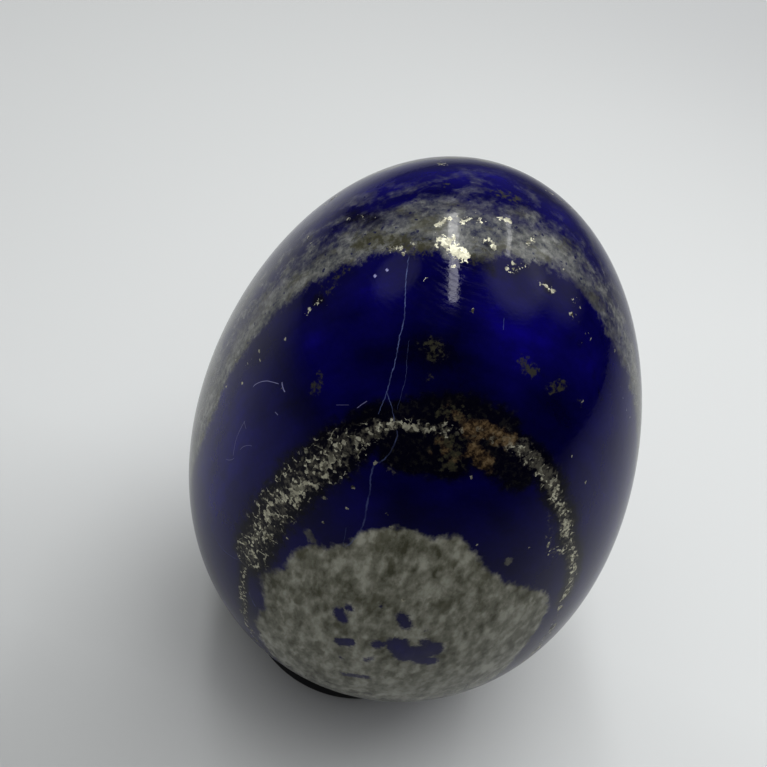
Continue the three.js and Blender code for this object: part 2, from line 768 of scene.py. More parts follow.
SMEARS: dict[str, tuple[Smear, ...]] = {
    "threads": (
        Smear(LEFT_ARCH, 3.0, 1.1),
        Smear(((300, 480), (330, 465)), 2.6, 0.3),
        Smear(TOP_ARCH, 0.8, 0.8),
        Smear(((345, 447), (362, 438), (378, 432)), 1.9, 0.55),
        Smear(((377, 422), (377, 430)), 0.7, 1.2),
        Smear(((392, 420), (392, 426)), 0.6, 1.2),
        Smear(RIGHT_ARCH, 1.3, 0.62),
        Smear(((541, 472), (552, 486), (558, 500)), 1.3, 1.4),
        Smear(RIGHT_FOOT, 0.95, 1.1),
        Smear(((564, 520), (567, 536)), 1.1, 1.4),
        Smear(((551, 551), (562, 552)), 0.8, 0.9),
        Smear(LEFT_FOOT, 0.8, 0.9),
        Smear(((551, 551), (548, 512)), 0.8, 0.6),
    ),
    "mealy": (
        Smear(((350, 445), (365, 436), (380, 430)), 1.6, 1.0),
        Smear(((355, 452), (362, 446)), 1.2, 0.8),
        Smear(((398, 427), (430, 427), (452, 431)), 0.75, 0.9),
        Smear(((391, 470),), 0.7, 1.1),
        Smear(((505, 440), (520, 447), (536, 462), (548, 476)), 1.5, 1.15),
        Smear(((548, 482), (560, 510), (568, 540), (572, 560), (570, 590)), 1.2, 0.95),
        Smear(((318, 478), (305, 498)), 1.8, 0.5),
    ),
    "gold": (
        Smear(((443, 240), (456, 250), (464, 256)), 1.2, 1.5),
        Smear(((434, 246), (447, 244)), 0.7, 1.0),
        Smear(((453, 236), (456, 244)), 0.5, 1.1),
        Smear(((438, 225), (446, 218), (456, 218)), 0.75, 1.05),
        Smear(((436, 232),), 0.6, 0.8),
        Smear(((500, 218), (509, 221)), 0.65, 1.4),
        Smear(((492, 242), (495, 250)), 0.65, 1.0),
        Smear(((480, 243), (490, 240)), 0.8, 0.8),
        Smear(((463, 222), (476, 215), (480, 222)), 0.9, 0.85),
        Smear(((486, 219),), 0.6, 0.8),
        Smear(((528, 246), (533, 238)), 0.8, 0.8),
        Smear(((502, 276), (514, 270), (524, 266)), 0.95, 0.68),
        Smear(((510, 264), (516, 262)), 0.6, 0.75),
        Smear(((538, 283), (546, 286), (555, 292)), 0.65, 0.85),
        Smear(((572, 302), (576, 300)), 1.0, 0.6),
        Smear(((350, 220), (372, 217)), 1.4, 0.5),
        Smear(((308, 312), (318, 303)), 1.0, 0.75),
        Smear(((392, 250), (412, 245)), 1.1, 0.75),
    ),
    "thin": (
        Smear(((225, 345), (255, 300), (290, 262), (335, 228)), 3.8, 1.1),
        Smear(((575, 245), (600, 285), (615, 330), (624, 370)), 3.4, 0.65),
        Smear(((480, 205), (530, 222)), 2.2, 0.7),
        Smear(((560, 268), (590, 310)), 1.8, 0.7),
    ),
    "dusk": (
        Smear(((440, 345), (455, 385)), 6.5, 1.0),
        Smear(((375, 375), (360, 405)), 4.5, 0.8),
        Smear(((545, 390), (560, 430)), 5.0, 0.6),
        Smear(((400, 490), (440, 520), (470, 510)), 5.0, 0.55),
        Smear(((295, 380), (310, 410)), 4.0, 0.5),
        Smear(((330, 310), (360, 325)), 3.0, 0.45),
    ),
    "olive": (
        Smear(((432, 345), (437, 352)), 1.5, 0.95),
        Smear(((421, 345),), 0.8, 0.7),
        Smear(((429, 379),), 0.9, 0.6),
        Smear(((524, 364), (532, 371)), 1.2, 0.95),
        Smear(((553, 389), (562, 384)), 1.2, 0.9),
        Smear(((580, 403),), 0.9, 0.5),
        Smear(((319, 380), (314, 389)), 1.3, 0.85),
        Smear(((360, 243), (400, 243), (425, 247)), 1.8, 0.9),
        Smear(((470, 258), (484, 252)), 1.6, 0.6),
        Smear(((446, 184),), 0.9, 0.7),
        Smear(((497, 193), (520, 200)), 1.4, 0.7),
        Smear(((327, 290), (345, 268)), 1.6, 0.6),
        Smear(((449, 440), (452, 462)), 2.2, 1.0),
        Smear(((440, 414), (466, 414)), 1.4, 0.8),
    ),
    "rust": (
        Smear(((468, 428), (490, 433), (508, 441)), 1.4, 0.95),
        Smear(((474, 450), (488, 464)), 1.3, 0.85),
        Smear(((440, 447), (452, 456)), 1.4, 0.5),
        Smear(((448, 412), (462, 416)), 1.2, 0.45),
    ),
    "shade": (
        Smear(LEFT_ARCH, 4.6, 1.25),
        Smear(((345, 445), (375, 425), (420, 418), (460, 415), (500, 430)), 3.8, 1.3),
        Smear(((400, 450), (425, 455), (450, 460)), 3.6, 1.5),
        Smear(((460, 440), (490, 455), (520, 475)), 3.4, 1.2),
        Smear(RIGHT_ARCH, 3.0, 1.1),
        Smear(RIGHT_FOOT, 2.6, 1.0),
        Smear(LEFT_FOOT, 1.8, 0.9),
        Smear(((270, 570), (262, 590)), 1.6, 0.5),
        Smear(((350, 218), (375, 220)), 2.2, 0.6),
        Smear(((309, 240),), 1.2, 0.6),
        Smear(((318, 300),), 1.9, 0.75),
        Smear(((548, 287),), 1.5, 0.7),
        Smear(((560, 385), (525, 366)), 1.4, 0.4),
        Smear(((433, 350),), 2.6, 0.6),
        Smear(((466, 262), (490, 268)), 2.0, 0.6),
        Smear(((464, 220), (480, 218)), 1.1, 0.55),
        Smear(((485, 244), (492, 248)), 1.1, 0.5),
        Smear(((503, 278), (525, 266)), 1.2, 0.45),
        Smear(((575, 330), (600, 395)), 3.0, 0.35),
    ),
    "glow": (
        Smear(((215, 430), (215, 490), (240, 450)), 13.0, 0.75),
        Smear(((628, 420), (622, 480), (600, 560)), 11.0, 0.6),
        Smear(((312, 345), (335, 375), (318, 360)), 5.0, 0.75),
        Smear(((370, 385), (395, 400)), 3.5, 0.6),
        Smear(((500, 322), (545, 335), (530, 345)), 5.5, 0.95),
        Smear(((445, 310),), 4.0, 0.5),
        Smear(((560, 345), (590, 370)), 4.0, 0.5),
        Smear(((340, 320), (375, 300)), 5.0, 0.5),
        Smear(((345, 520), (365, 500)), 4.0, 0.45),
        Smear(((440, 515), (470, 530)), 4.0, 0.35),
        Smear(((370, 190), (430, 175), (500, 180)), 3.5, 0.65),
        Smear(((560, 215),), 3.0, 0.35),
        Smear(((280, 570), (290, 555)), 2.0, 0.35),
    ),
    "spots": (
        Smear(((339, 612), (342, 619)), 0.95 * HOLE_SPREAD, 1.0),
        Smear(((349, 608),), 0.75 * HOLE_SPREAD, 0.95),
        Smear(((340, 642), (350, 642)), 1.0, 1.3),
        Smear(((402, 617), (406, 625)), 0.95 * HOLE_SPREAD, 1.0),
        Smear(((376, 645), (379, 644)), 1.0, 1.05),
        Smear(((397, 645), (405, 655)), 1.8, 1.5),
        Smear(((412, 653), (424, 652), (432, 649)), 1.8, 1.65),
        Smear(((425, 642),), 0.8 * HOLE_SPREAD, 0.9),
        Smear(((418, 660), (431, 661)), 1.25, 1.15),
        Smear(((405, 640),), 0.6 * HOLE_SPREAD, 0.8),
        Smear(((344, 674), (367, 677)), 0.65 * HOLE_SPREAD, 0.8),
        Smear(((341, 658),), 0.65, 0.65),
        Smear(((366, 660), (372, 658)), 0.65, 0.65),
        Smear(((381, 606),), 0.45 * HOLE_SPREAD, 0.6),
        Smear(((426, 630),), 0.45 * HOLE_SPREAD, 0.55),
    ),
    "grey": (
        Smear(((308, 533), (313, 541)), 1.0, 0.8),
        Smear(((508, 562),), 0.9, 0.9),
        Smear(((258, 540), (252, 560)), 0.9, 0.4),
    ),
}

VEINS = (
    Vein(
        (
            (409, 256), (406, 280), (405, 305), (404, 318), (399, 340), (397, 353), (390, 380),
            (387, 393),
        ),
        0.07,
        0.85,
    ),
    Vein(((387, 391), (383, 402), (378, 414)), 0.055, 0.6),
    Vein(((386, 391), (390, 402), (393, 412), (394, 422)), 0.055, 0.7),
    Vein(((409, 340), (407, 358), (406, 375), (401, 396), (397, 410)), 0.04, 0.4),
    Vein(((397, 430), (395, 443), (388, 455), (378, 463)), 0.09, 0.5),
    Vein(
        ((375, 461), (371, 476), (370, 490), (367, 505), (363, 525), (356, 537), (345, 547)),
        0.11,
        0.5,
    ),
    Vein(((343, 546), (345, 535), (346, 527)), 0.045, 0.35),
    Vein(((504, 318), (503, 330)), 0.05, 0.5),
    Vein(((209, 515), (213, 532), (221, 547), (231, 556), (241, 560)), 0.06, 0.5),
    Vein(((249, 592), (252, 600), (256, 607)), 0.09, 0.7),
)
LINT = (
    Vein(((253, 387), (258, 383), (266, 381), (272, 382), (279, 384)), 0.05, 0.85),
    Vein(((282, 382), (283, 388), (285, 392)), 0.11, 0.8),
    Vein(((245, 421), (240, 430), (236, 440), (234, 450), (233, 456)), 0.04, 0.45),
    Vein(((226, 459), (230, 460), (234, 458)), 0.04, 0.4),
    Vein(((240, 450), (245, 446), (252, 446)), 0.04, 0.4),
    Vein(((244, 421), (246, 429)), 0.05, 0.4),
    Vein(((357, 408), (364, 403), (367, 401)), 0.05, 0.6),
    Vein(((336, 405), (343, 405), (349, 405)), 0.035, 0.35),
    Vein(((275, 412), (278, 415)), 0.07, 0.6),
    # The last two draw small round pale violet dots.
    Vein(((386, 269), (388, 271)), 0.17, 1.0),
    Vein(((374, 275), (376, 277)), 0.19, 1.0),
)
BAND_GRAINS = (
    (437, 225, 0.26), (454, 266, 0.24), (404, 253, 0.26), (489, 239, 0.22), (513, 263, 0.24),
    (507, 269, 0.22), (546, 286, 0.26), (553, 291, 0.3), (563, 269, 0.16), (580, 308, 0.2),
    (571, 314, 0.24), (348, 219, 0.22), (310, 309, 0.26), (318, 304, 0.2), (285, 339, 0.24),
    (591, 339, 0.18), (615, 351, 0.18), (308, 237, 0.17), (311, 243, 0.14),
)
LONE_GRAINS = (
    (472, 310, 0.16), (259, 351, 0.17), (260, 360, 0.16),
    (236, 360, 0.17), (242, 383, 0.2), (583, 401, 0.14), (427, 425, 0.2), (415, 428, 0.16),
)
ARCH_GRAINS = (
    (375, 463, 0.2), (403, 600, 0.26), (392, 527, 0.18), (271, 503, 0.24), (341, 478, 0.2),
    (353, 487, 0.2), (325, 498, 0.24), (306, 451, 0.26), (336, 445, 0.26), (297, 500, 0.36),
    (471, 477, 0.18), (335, 472, 0.2), (287, 538, 0.18), (529, 548, 0.14), (477, 545, 0.12),
    (347, 509, 0.15), (323, 523, 0.14), (387, 514, 0.13), (572, 456, 0.14), (549, 543, 0.2),
    (586, 482, 0.14), (241, 547, 0.15),
)
BAND_GRAIN_SIZE = 0.8  # the part of its radius that a grain in the band shows beside the gold
GRAINS = Specks(
    tuple((x, y, radius * BAND_GRAIN_SIZE) for x, y, radius in BAND_GRAINS)
    + LONE_GRAINS
    + ARCH_GRAINS
)

FORM = EggForm()
VIEW = Viewpoint()


@dataclass(frozen=True)
class Sites:
    """Where a place on the stone lies, in the ways that its patterns need.

    Attributes:
        place: the place in millimetres.
        ragged: the same, shaken a little, for rough-edged grains.
        crooked: the same, shaken less, for cracks.
        streaky: the same, stretched across the beds, so that noise on it runs along them.
        billowed: the same, stretched less and bent, for smoke in the stone.
        height: the height of the place in the beds.
    """

    place: Signal
    ragged: Signal
    crooked: Signal
    streaky: Signal
    billowed: Signal
    height: Signal

    @staticmethod
    def read(bench: Bench, beds: Bedding, finish: "LapisFinish") -> "Sites":
        """Adds the nodes that find all of them.

        Args:
            bench: the material's bench.
            beds: the stone's bedding.
            finish: the finish that says how far each is shaken and stretched.

        Returns:
            The places.
        """
        place = bench.place_mm()
        normal = tuple(beds.stacked)
        centred = bench.vector("SUBTRACT", place, beds.middle)
        height = bench.vector("DOT_PRODUCT", centred, normal, output=1)
        stretch = bench.scaled(normal, height * (finish.streak_ratio - 1.0))
        streaky = bench.vector("ADD", place, stretch)
        tremble = bench.shift(place, finish.tremble_per_mm, finish.tremble)
        ragged = bench.vector("ADD", place, tremble)
        crooked = bench.vector("ADD", place, bench.scaled(tremble, finish.crook))
        layered = bench.vector("ADD", place, bench.scaled(normal, height * finish.layering))
        eddies = bench.shift(place, finish.eddies_per_mm, finish.eddy)
        billowed = bench.vector("ADD", layered, eddies)
        return Sites(place, ragged, crooked, streaky, billowed, height)


@dataclass(frozen=True)
class LapisFinish:
    """Polished lapis: blue lazurite, grey-green calcite, dark and gold pyrite and a rusty stain.

    Attributes:
        name: the material's name.
        roughness: the polished blue's roughness.
        gold_roughness: the pyrite's roughness.
        gold_metal: how metallic the pyrite is.
        scuffing: how much rougher the fine polishing marks are.
        ripple: how high the polished surface's unevenness is, in metres.
        ripples_per_mm: how fine it is.
        polish_grain: the polishing marks' scales along X, Y and Z, which make them level lines.
        ior: the stone's index of refraction.
        streak_ratio: how much finer streaks are across the beds than along them.
        layering: the same for smoke in the stone, less 1.
        tremble: how far rough-edged grains are shaken, in millimetres.
        tremble_per_mm: how finely they are shaken.
        crook: the part of that shaking that cracks have.
        eddy: how far smoke is bent, in millimetres.
        eddies_per_mm: how fine its bends are.
        blues: the lazurite's colours, from ink to bright ultramarine.
        cap_stretch: the cap pattern's scale along Z, where less than 1 makes longer grains.
        cap_tones: the cap's greys.
        band_tones: the band's greys.
        olive_stain: the colour of olive clouds in the calcite.
        blue_fleck: the colour of flecks in the band.
        soot: the dark colour round the arch.
        crumb: the olive crumbs in the dark.
        matrix: the mealy stone between threads of pyrite.
        rusts: the rusty stain's colours.
        golds: the pyrite's colours, from tarnished to bright, the brightest being painted glints.
        vein: the colour of healed cracks.
        lint: the colour of hairs and scratches.
        veins: the healed cracks.
        lint_lines: the hairs and scratches, and two small pale dots.
        grains: the single grains of pyrite.
    """

    name: str = "polished_lapis"
    roughness: float = 0.05
    gold_roughness: float = 0.42
    gold_metal: float = 0.55
    scuffing: float = 0.12
    ripple: float = 6e-6
    ripples_per_mm: float = 2.4
    polish_grain: tuple[float, float, float] = (0.5, 0.5, 8.0)
    ior: float = 1.41
    streak_ratio: float = 3.6
    layering: float = 0.7
    tremble: float = 0.55
    tremble_per_mm: float = 2.6
    crook: float = 0.35
    eddy: float = 3.0
    eddies_per_mm: float = 0.35
    blues: Tones = (
        (0.0, (0.0016, 0.0014, 0.016)),
        (0.28, (0.0022, 0.0016, 0.052)),
        (0.62, (0.0042, 0.0024, 0.108)),
        (1.0, (0.0070, 0.0025, 0.25)),
    )
    cap_stretch: float = 0.55
    cap_tones: Tones = (
        (0.12, (0.095, 0.095, 0.062)),
        (0.5, (0.25, 0.25, 0.20)),
        (0.95, (0.48, 0.48, 0.41)),
    )
    band_tones: Tones = (
        (0.1, (0.022, 0.026, 0.060)),
        (0.5, (0.160, 0.165, 0.157)),
        (0.95, (0.33, 0.335, 0.315)),
    )
    olive_stain: Colour = (0.090, 0.088, 0.050)
    blue_fleck: Colour = (0.010, 0.012, 0.070)
    soot: Colour = (0.0025, 0.0024, 0.006)
    crumb: Colour = (0.060, 0.058, 0.036)
    matrix: Colour = (0.145, 0.138, 0.112)
    rusts: Tones = (
        (0.41, (0.032, 0.020, 0.012)),
        (0.54, (0.165, 0.112, 0.058)),
        (0.7, (0.27, 0.205, 0.12)),
    )
    golds: Tones = (
        (0.12, (0.09, 0.085, 0.06)),
        (0.4, (0.43, 0.42, 0.34)),
        (0.66, (0.70, 0.68, 0.54)),
        (0.94, (0.93, 0.92, 0.75)),
    )
    vein: Colour = (0.13, 0.165, 0.34)
    lint: Colour = (0.36, 0.36, 0.60)
    veins: tuple[Vein, ...] = VEINS
    lint_lines: tuple[Vein, ...] = LINT
    grains: Specks = GRAINS

    def blue(self, bench: Bench, at: Sites) -> Signal:
        """Adds the lazurite, from ink to bright ultramarine in soft clouds.

        Args:
            bench: the material's bench.
            at: the places on the stone.

        Returns:
            The colour.
        """
        clouds = bench.sway(at.place, 0.16, 3.0, 0.55)
        drift = bench.sway(at.streaky, 0.22, 3.0, 0.5)
        grain = bench.sway(at.place, 2.4, 3.0, 0.6)
        # The 'glow' field makes the blue brighter in broad bands along the egg's sides and top and
        # in patches; the 'dusk' field makes it darker in patches across the middle of the front.
        tone = (bench.field("glow") | (bench.field("spots") * 0.5)) * 0.4
        tone = tone - bench.field("dusk") * 0.26 + clouds * 0.6 + drift * 0.5 + grain * 0.2
        return bench.ramp(tone + 0.36, self.blues)

    def cap_stone(self, bench: Bench, at: Sites) -> Signal:
        """Adds the cap's calcite: soft pale and dark grains and olive blotches.

        Args:
            bench: the material's bench.
            at: the places on the stone.

        Returns:
            The colour.
        """
        grain = bench.vector("MULTIPLY", at.crooked, (1.0, 1.0, self.cap_stretch))
        broad = bench.sway(grain, 0.3, 2.0, 0.5)
        mottle = bench.sway(grain, 0.9, 4.0, 0.55)
        grey = bench.ramp(mottle * 2.1 + broad + 0.52, self.cap_tones)
        away, own = bench.cells(grain, 1.25)
        pale_grain = bench.fade(away, 0.5, 0.12) * bench.fade(own, 0.7, 0.95) * 0.5
        grey = bench.blend(pale_grain, grey, self.cap_tones[-1][1])
        blotch = bench.noise(grain, 0.62, 4.0, 0.55)
        return bench.blend(bench.fade(blotch, 0.53, 0.66) * 0.62, grey, self.olive_stain)

    def band_stone(self, bench: Bench, at: Sites) -> Signal:
        """Adds the band's calcite: smoky grey, olive clouds and small dark flecks.

        Args:
            bench: the material's bench.
            at: the places on the stone.

        Returns:
            The colour.
        """
        streaks = bench.sway(at.streaky, 0.6, 4.0, 0.6)
        mottle = bench.sway(at.ragged, 1.9, 3.0, 0.62)
        broad = bench.sway(at.billowed, 0.3, 3.0, 0.55)
        tone = streaks * 0.7 + mottle * 1.25 + broad * 1.2 + 0.52
        grey = bench.ramp(tone, self.band_tones)
        stained = bench.noise(at.billowed, 0.42, 4.0, 0.6) + bench.field("olive") * 0.2
        grey = bench.blend(bench.fade(stained, 0.49, 0.68) * 0.68, grey, self.olive_stain)
        away, own = bench.cells(at.ragged, 1.7)
        flecks = bench.fade(away, 0.3, 0.14) * bench.fade(own, 0.7, 0.78) * 0.85
        return bench.blend(flecks, grey, self.blue_fleck)

    def band_share(self, bench: Bench, at: Sites) -> Signal:
        """Says where band calcite is: the broad band, wisps behind it and two beds on the back.

        Args:
            bench: the material's bench.
            at: the places on the stone.

        Returns:
            The share of it.
        """
        soft = bench.sway(at.place, 0.5, 3.0)
        smoke = bench.sway(at.billowed, 0.34, 4.0, 0.6)
        fine = bench.sway(at.ragged, 1.6, 3.0, 0.6)
        front = bench.fade(bench.field("band_front") + soft * 1.5 + fine * 2.0, 0.5, -0.5)
        behind = bench.field("band_back")
        back = bench.fade(behind + smoke * 7.0 + fine * 3.0, -1.8, 2.4)
        wisps = bench.fade(smoke + fine * 0.3, -0.06, 0.2) * bench.fade(behind, -8.0, -0.8) * front
        far_bed = bench.fade(abs(at.height + 9.0 + soft * 2.6) - smoke * 2.6, 1.3, 0.2) * 0.8
        last_bed = bench.fade(at.height + soft * 3.6 + smoke * 5.0, -19.6, -21.2)
        last_bed = last_bed * (0.92 - bench.fade(smoke + fine * 0.4, 0.02, 0.2) * 0.6)
        gaps = bench.fade(smoke + fine * 0.6, 0.16, -0.12) * 0.75 + 0.16
        faint = 1.0 - bench.field("thin") * gaps
        return (front * back * faint * 0.92) | (wisps * 0.5) | far_bed | last_bed

    def cap_share(self, bench: Bench, at: Sites) -> Signal:
        """Says where cap calcite is, with its holes of blue and its small grey islands.

        Args:
            bench: the material's bench.
            at: the places on the stone.

        Returns:
            The share of it.
        """
        soft = bench.sway(at.place, 0.5, 2.0)
        fine = bench.sway(at.place, 1.7, 4.0, 0.6)
        cap = bench.fade(bench.field("cap") + soft * 1.5 + fine * 1.2, -0.4, 0.45)
        frill = bench.sway(at.ragged, 2.6, 3.0, 0.6)
        holes = bench.fade(bench.field("spots") + frill * 1.3, 0.16, 0.7) * 0.95
        islands = bench.fade(bench.field("grey") + fine * 1.3, 0.3, 0.7) * 0.62
        return (cap * (1.0 - holes)) | islands

    def worms(self, bench: Bench, at: Sites, richness: Signal) -> Signal:
        """Adds short crooked threads and grains of pyrite.

        Args:
            bench: the material's bench.
            at: the places on the stone.
            richness: how dense they are, from 0 to about 1.4.

        Returns:
            The share of pyrite.
        """
        bends = bench.sway(at.ragged, 0.72, 2.0, 0.5)
        pieces = bench.noise(at.ragged, 1.05, 2.0, 0.55)
        thread = bench.fade(abs(bends) - richness * 0.046, 0.014, -0.01)
        cut = bench.fade(pieces + richness * 0.11, 0.545, 0.6)
        away, own = bench.cells(at.ragged, 1.9)
        grains = bench.fade(away - richness * 0.16, 0.2, 0.12)
        grains = grains * bench.fade(own + richness * 0.5, 0.93, 0.97)
        return ((thread * cut) | grains) * bench.fade(richness, 0.1, 0.3)

    def gold_share(self, bench: Bench, at: Sites) -> Signal:
        """Says where pyrite is: clusters, the arch's bed, thin far beds and single grains.

        Args:
            bench: the material's bench.
            at: the places on the stone.

        Returns:
            The share of it.
        """
        coarse = bench.noise(at.ragged, 1.2, 3.0, 0.6)
        lumps = coarse * 0.5 + bench.noise(at.place, 3.4, 2.0, 0.6) * 0.5
        waver = bench.sway(at.place, 0.25, 2.0) * 3.0
        patchy = bench.fade(bench.noise(at.place, 0.18, 2.0), 0.44, 0.6)
        arch_bed = bench.fade(abs(bench.field("arch")), 0.9, 0.2) * 0.8
        thin_bed = bench.fade(abs(at.height - 7.0 + waver), 1.3, 0.2) * 0.36
        far_bed = bench.fade(abs(at.height + 6.6 + waver), 0.9, 0.1) * 0.8
        back_bed = bench.fade(abs(at.height + 15.5 + waver), 1.1, 0.1) * 0.85
        threads = self.worms(bench, at, bench.field("threads") | arch_bed | (back_bed * patchy))
        richness = bench.field("gold") | ((thin_bed | far_bed) * patchy)
        clusters = bench.fade(lumps + richness * 0.24, 0.71, 0.74)
        singles = bench.fade(self.grains.nearness(bench, at.ragged, FORM, VIEW), -0.1, 0.3)
        return threads | clusters | singles

    def dark_and_stains(self, bench: Bench, at: Sites, colour: Signal) -> tuple[Signal, Signal]:
        """Adds the dark round the arch, its olive crumbs and mealy stone, and the rusty stain.

        Args:
            bench: the material's bench.
            at: the places on the stone.
            colour: the colour below them.

        Returns:
            The colour with them, and the share of the stain.
        """
        rag = bench.sway(at.place, 1.2, 4.0, 0.62)
        crumbs = bench.noise(at.crooked, 2.1, 4.0, 0.62)
        sooty = bench.field("shade")
        colour = bench.blend(bench.fade(sooty + rag * 1.1, 0.22, 0.9) * 0.94, colour, self.soot)
        olive = bench.field("olive")
        greenish = bench.fade(crumbs + olive * 0.22, 0.6, 0.78) * bench.fade(olive, 0.05, 0.4)
        dusty = bench.fade(crumbs + sooty * 0.07, 0.56, 0.8) * bench.fade(sooty, 0.25, 0.7)
        colour = bench.blend((greenish * 0.85) | (dusty * 0.26), colour, self.crumb)
        mealy = (bench.field("mealy") * 0.6) | (bench.field("threads") * 0.5)
        haze = bench.fade((crumbs - 0.5) * 2.2 + mealy, 0.25, 0.8) * bench.fade(mealy, 0.02, 0.25)
        colour = bench.blend(haze * 0.8, colour, self.matrix)
        rusty = bench.field("rust")
        stain = bench.fade(rusty + rag * 2.4, 0.14, 0.8) * bench.fade(rusty, 0.0, 0.2)
        return bench.blend(stain * 0.85, colour, bench.ramp(crumbs, self.rusts)), stain

    def gold_colour(self, bench: Bench, at: Sites) -> Signal:
        """Adds the pyrite's colour facet by facet, with painted glints in it.

        Args:
            bench: the material's bench.
            at: the places on the stone.

        Returns:
            The colour.
        """
        _, facet = bench.cells(at.ragged, 3.2)
        # Painted glints: some facets, and most of all those in the rich clusters, are painted near
        # white.
        glint = facet * 0.7 + bench.noise(at.place, 1.0, 2.0) * 0.5 - 0.24
        glint = glint + bench.field("gold") * 0.26 + bench.field("threads") * 0.16
        return bench.ramp(glint, self.golds)

    def make(self, beds: Bedding) -> bpy.types.Material:
        """Makes the material.

        Args:
            beds: the stone's bedding.

        Returns:
            The material, which reads Object coordinates and the egg's own fields.
        """
        material, bench = started(self.name)
        at = Sites.read(bench, beds, self)
        colour = self.blue(bench, at)
        colour = bench.blend(self.band_share(bench, at), colour, self.band_stone(bench, at))
        colour = bench.blend(self.cap_share(bench, at), colour, self.cap_stone(bench, at))
        colour, stain = self.dark_and_stains(bench, at, colour)
        gold = self.gold_share(bench, at) * (1.0 - stain * 0.8)
        colour = bench.blend(gold, colour, self.gold_colour(bench, at))
        healed = bench.fade(bench.noise(at.place, 0.9, 2.0), 0.62, 0.42) * 0.6 + 0.4
        for line in self.veins:
            shown = line.mask(bench, at.crooked, FORM, VIEW) * healed
            colour = bench.blend(shown, colour, self.vein)
        for line in self.lint_lines:
            colour = bench.blend(line.mask(bench, at.place, FORM, VIEW), colour, self.lint)

        marks = bench.vector("MULTIPLY", at.crooked, self.polish_grain)
        scuffs = bench.fade(bench.noise(marks, 1.0, 3.0, 0.6), 0.46, 0.62)
        polish = scuffs * self.scuffing + gold * (self.gold_roughness - self.roughness)
        ripples = bench.noise(at.place, self.ripples_per_mm, 2.0, 0.55)
        bench.surface(
            {
                "Base Color": colour,
                "Metallic": gold * self.gold_metal,
                "Roughness": polish + self.roughness,
                "IOR": self.ior,
                "Normal": bench.relief(ripples, 1.0, self.ripple),
            },
        )
        return material


@dataclass(frozen=True)
class BlackPlasticFinish:
    """Smooth black moulded plastic.

    Attributes:
        name: the material's name.
        colour: its colour where it is clean.
        scuffed: its colour where it is scuffed.
        roughness: how rough it is where it is clean.
        scuffing: how much rougher scuffs are.
        pebble: how high its fine unevenness is, in metres.
        pebble_strength: how much of that shows.
        ior: the plastic's index of refraction.
    """

    name: str = "black_ring_plastic"
    colour: Colour = (0.003, 0.003, 0.005)
    scuffed: Colour = (0.008, 0.008, 0.011)
    roughness: float = 0.3
    scuffing: float = 0.16
    pebble: float = 2e-5
    pebble_strength: float = 0.25
    ior: float = 1.38

    def make(self) -> bpy.types.Material:
        """Makes the material.

        Returns:
            The material, which reads Object coordinates.
        """
        material, bench = started(self.name)
        place = bench.place_mm()
        scuffs = bench.fade(bench.noise(place, 0.7, 4.0, 0.65), 0.5, 0.75)
        pebbles = bench.noise(place, 4.0, 2.0)
        bench.surface(
            {
                "Base Color": bench.blend(scuffs, self.colour, self.scuffed),
                "Roughness": scuffs * self.scuffing + self.roughness,
                "IOR": self.ior,
                "Normal": bench.relief(pebbles, self.pebble_strength, self.pebble),
            },
        )
        return material


